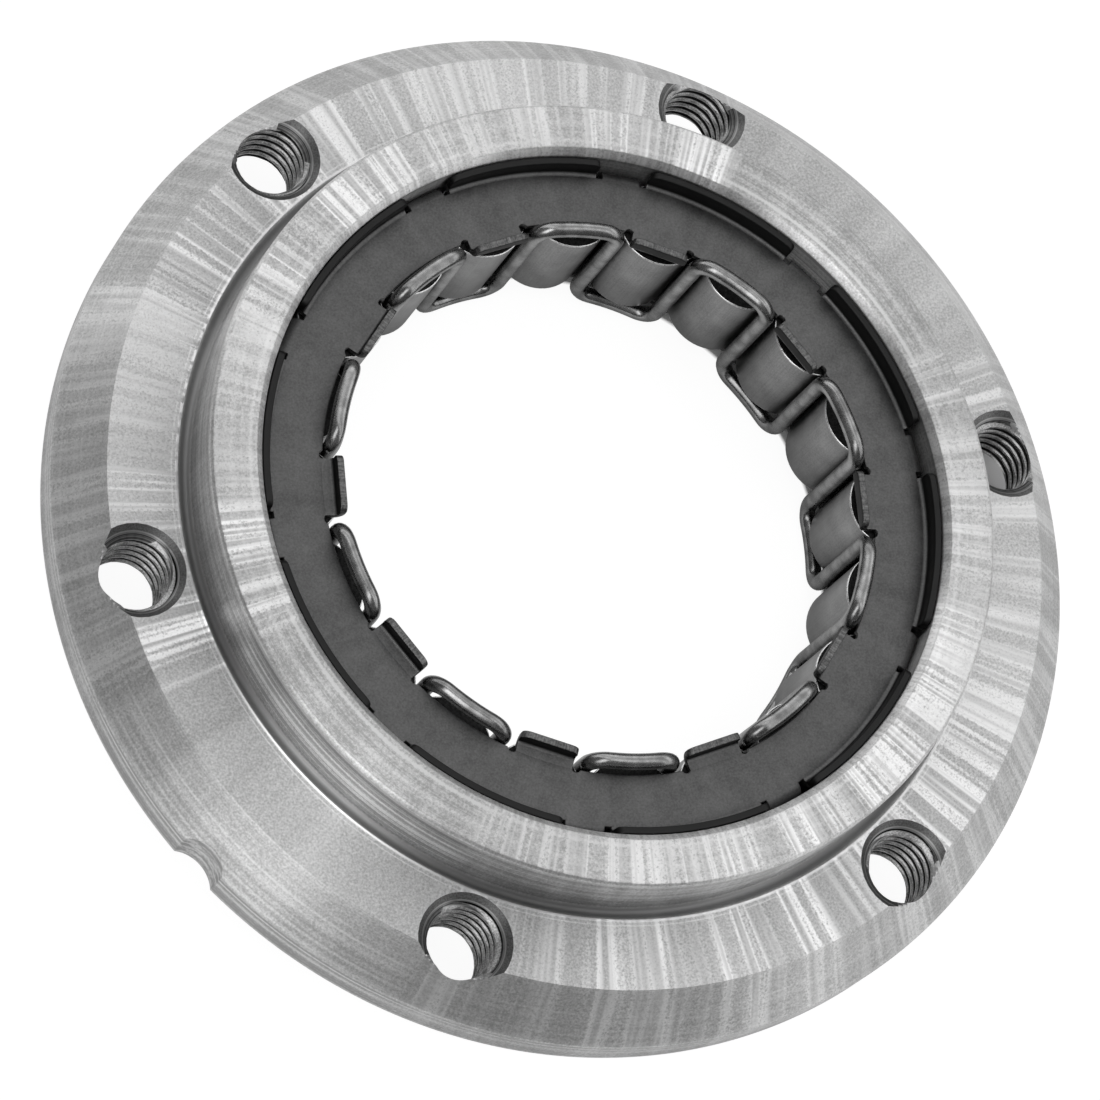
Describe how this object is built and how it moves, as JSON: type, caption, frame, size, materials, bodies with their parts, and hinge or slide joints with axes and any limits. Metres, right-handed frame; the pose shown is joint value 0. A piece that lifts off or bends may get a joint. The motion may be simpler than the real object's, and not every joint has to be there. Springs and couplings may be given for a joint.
{
  "type": "sprag clutch",
  "caption": "One-way sprag clutch: flanged outer race with threaded screw holes, holding a pressed cage, a serpentine wire spring and tilting sprags.",
  "frame": {"origin": "centre of the locating register's face on the clutch axis, at the clutch's lowest plane", "axes": "+Z along the clutch axis from the mounting side towards the hub face, +X through one of the six screw holes"},
  "size_m": [0.105, 0.105, 0.018],
  "materials": {
    "race_steel": "turned",
    "cage_sheet": "matte phosphated sheet",
    "spring_wire": "drawn and hardened wire",
    "sprag_steel": "satin ground"
  },
  "bodies": {
    "race": {"outer_race": "race_steel"},
    "cage": {"upper_cage_ring": "cage_sheet", "lower_cage_ring": "cage_sheet", "energizing_spring": "spring_wire"},
    "sprag_01_body": {"sprag_01": "sprag_steel"},
    "sprag_02_body": {"sprag_02": "sprag_steel"},
    "sprag_03_body": {"sprag_03": "sprag_steel"},
    "sprag_04_body": {"sprag_04": "sprag_steel"},
    "sprag_05_body": {"sprag_05": "sprag_steel"},
    "sprag_06_body": {"sprag_06": "sprag_steel"},
    "sprag_07_body": {"sprag_07": "sprag_steel"},
    "sprag_08_body": {"sprag_08": "sprag_steel"},
    "sprag_09_body": {"sprag_09": "sprag_steel"},
    "sprag_10_body": {"sprag_10": "sprag_steel"},
    "sprag_11_body": {"sprag_11": "sprag_steel"},
    "sprag_12_body": {"sprag_12": "sprag_steel"},
    "sprag_13_body": {"sprag_13": "sprag_steel"},
    "sprag_14_body": {"sprag_14": "sprag_steel"},
    "sprag_15_body": {"sprag_15": "sprag_steel"},
    "sprag_16_body": {"sprag_16": "sprag_steel"},
    "sprag_17_body": {"sprag_17": "sprag_steel"},
    "sprag_18_body": {"sprag_18": "sprag_steel"},
    "sprag_19_body": {"sprag_19": "sprag_steel"},
    "sprag_20_body": {"sprag_20": "sprag_steel"}
  },
  "joints": [
    {"name": "cage_spin", "type": "hinge", "parent": "race", "child": "cage", "pos_m": [0, 0, 0.009], "axis": [0, 0, 1], "continuous": true},
    {"name": "sprag_01_tilt", "type": "hinge", "parent": "cage", "child": "sprag_01_body", "pos_m": [0.03033, 0.00541, 0.009], "axis": [0, 0, 1], "range_deg": [0, 5], "stiffness_Nm_per_rad": 0.02, "springref_deg": -2.86},
    {"name": "sprag_02_tilt", "type": "hinge", "parent": "cage", "child": "sprag_02_body", "pos_m": [0.02717, 0.01452, 0.009], "axis": [0, 0, 1], "range_deg": [0, 5], "stiffness_Nm_per_rad": 0.02, "springref_deg": -2.86},
    {"name": "sprag_03_tilt", "type": "hinge", "parent": "cage", "child": "sprag_03_body", "pos_m": [0.02135, 0.0222, 0.009], "axis": [0, 0, 1], "range_deg": [0, 5], "stiffness_Nm_per_rad": 0.02, "springref_deg": -2.86},
    {"name": "sprag_04_tilt", "type": "hinge", "parent": "cage", "child": "sprag_04_body", "pos_m": [0.01345, 0.02772, 0.009], "axis": [0, 0, 1], "range_deg": [0, 5], "stiffness_Nm_per_rad": 0.02, "springref_deg": -2.86},
    {"name": "sprag_05_tilt", "type": "hinge", "parent": "cage", "child": "sprag_05_body", "pos_m": [0.00423, 0.03051, 0.009], "axis": [0, 0, 1], "range_deg": [0, 5], "stiffness_Nm_per_rad": 0.02, "springref_deg": -2.86},
    {"name": "sprag_06_tilt", "type": "hinge", "parent": "cage", "child": "sprag_06_body", "pos_m": [-0.00541, 0.03033, 0.009], "axis": [0, 0, 1], "range_deg": [0, 5], "stiffness_Nm_per_rad": 0.02, "springref_deg": -2.86},
    {"name": "sprag_07_tilt", "type": "hinge", "parent": "cage", "child": "sprag_07_body", "pos_m": [-0.01452, 0.02717, 0.009], "axis": [0, 0, 1], "range_deg": [0, 5], "stiffness_Nm_per_rad": 0.02, "springref_deg": -2.86},
    {"name": "sprag_08_tilt", "type": "hinge", "parent": "cage", "child": "sprag_08_body", "pos_m": [-0.0222, 0.02135, 0.009], "axis": [0, 0, 1], "range_deg": [0, 5], "stiffness_Nm_per_rad": 0.02, "springref_deg": -2.86},
    {"name": "sprag_09_tilt", "type": "hinge", "parent": "cage", "child": "sprag_09_body", "pos_m": [-0.02772, 0.01345, 0.009], "axis": [0, 0, 1], "range_deg": [0, 5], "stiffness_Nm_per_rad": 0.02, "springref_deg": -2.86},
    {"name": "sprag_10_tilt", "type": "hinge", "parent": "cage", "child": "sprag_10_body", "pos_m": [-0.03051, 0.00423, 0.009], "axis": [0, 0, 1], "range_deg": [0, 5], "stiffness_Nm_per_rad": 0.02, "springref_deg": -2.86},
    {"name": "sprag_11_tilt", "type": "hinge", "parent": "cage", "child": "sprag_11_body", "pos_m": [-0.03033, -0.00541, 0.009], "axis": [0, 0, 1], "range_deg": [0, 5], "stiffness_Nm_per_rad": 0.02, "springref_deg": -2.86},
    {"name": "sprag_12_tilt", "type": "hinge", "parent": "cage", "child": "sprag_12_body", "pos_m": [-0.02717, -0.01452, 0.009], "axis": [0, 0, 1], "range_deg": [0, 5], "stiffness_Nm_per_rad": 0.02, "springref_deg": -2.86},
    {"name": "sprag_13_tilt", "type": "hinge", "parent": "cage", "child": "sprag_13_body", "pos_m": [-0.02135, -0.0222, 0.009], "axis": [0, 0, 1], "range_deg": [0, 5], "stiffness_Nm_per_rad": 0.02, "springref_deg": -2.86},
    {"name": "sprag_14_tilt", "type": "hinge", "parent": "cage", "child": "sprag_14_body", "pos_m": [-0.01345, -0.02772, 0.009], "axis": [0, 0, 1], "range_deg": [0, 5], "stiffness_Nm_per_rad": 0.02, "springref_deg": -2.86},
    {"name": "sprag_15_tilt", "type": "hinge", "parent": "cage", "child": "sprag_15_body", "pos_m": [-0.00423, -0.03051, 0.009], "axis": [0, 0, 1], "range_deg": [0, 5], "stiffness_Nm_per_rad": 0.02, "springref_deg": -2.86},
    {"name": "sprag_16_tilt", "type": "hinge", "parent": "cage", "child": "sprag_16_body", "pos_m": [0.00541, -0.03033, 0.009], "axis": [0, 0, 1], "range_deg": [0, 5], "stiffness_Nm_per_rad": 0.02, "springref_deg": -2.86},
    {"name": "sprag_17_tilt", "type": "hinge", "parent": "cage", "child": "sprag_17_body", "pos_m": [0.01452, -0.02717, 0.009], "axis": [0, 0, 1], "range_deg": [0, 5], "stiffness_Nm_per_rad": 0.02, "springref_deg": -2.86},
    {"name": "sprag_18_tilt", "type": "hinge", "parent": "cage", "child": "sprag_18_body", "pos_m": [0.0222, -0.02135, 0.009], "axis": [0, 0, 1], "range_deg": [0, 5], "stiffness_Nm_per_rad": 0.02, "springref_deg": -2.86},
    {"name": "sprag_19_tilt", "type": "hinge", "parent": "cage", "child": "sprag_19_body", "pos_m": [0.02772, -0.01345, 0.009], "axis": [0, 0, 1], "range_deg": [0, 5], "stiffness_Nm_per_rad": 0.02, "springref_deg": -2.86},
    {"name": "sprag_20_tilt", "type": "hinge", "parent": "cage", "child": "sprag_20_body", "pos_m": [0.03051, -0.00423, 0.009], "axis": [0, 0, 1], "range_deg": [0, 5], "stiffness_Nm_per_rad": 0.02, "springref_deg": -2.86}
  ],
  "couplings": [
    {"joint": "sprag_02_tilt", "follows": "sprag_01_tilt", "ratio": 1},
    {"joint": "sprag_03_tilt", "follows": "sprag_01_tilt", "ratio": 1},
    {"joint": "sprag_04_tilt", "follows": "sprag_01_tilt", "ratio": 1},
    {"joint": "sprag_05_tilt", "follows": "sprag_01_tilt", "ratio": 1},
    {"joint": "sprag_06_tilt", "follows": "sprag_01_tilt", "ratio": 1},
    {"joint": "sprag_07_tilt", "follows": "sprag_01_tilt", "ratio": 1},
    {"joint": "sprag_08_tilt", "follows": "sprag_01_tilt", "ratio": 1},
    {"joint": "sprag_09_tilt", "follows": "sprag_01_tilt", "ratio": 1},
    {"joint": "sprag_10_tilt", "follows": "sprag_01_tilt", "ratio": 1},
    {"joint": "sprag_11_tilt", "follows": "sprag_01_tilt", "ratio": 1},
    {"joint": "sprag_12_tilt", "follows": "sprag_01_tilt", "ratio": 1},
    {"joint": "sprag_13_tilt", "follows": "sprag_01_tilt", "ratio": 1},
    {"joint": "sprag_14_tilt", "follows": "sprag_01_tilt", "ratio": 1},
    {"joint": "sprag_15_tilt", "follows": "sprag_01_tilt", "ratio": 1},
    {"joint": "sprag_16_tilt", "follows": "sprag_01_tilt", "ratio": 1},
    {"joint": "sprag_17_tilt", "follows": "sprag_01_tilt", "ratio": 1},
    {"joint": "sprag_18_tilt", "follows": "sprag_01_tilt", "ratio": 1},
    {"joint": "sprag_19_tilt", "follows": "sprag_01_tilt", "ratio": 1},
    {"joint": "sprag_20_tilt", "follows": "sprag_01_tilt", "ratio": 1}
  ]
}
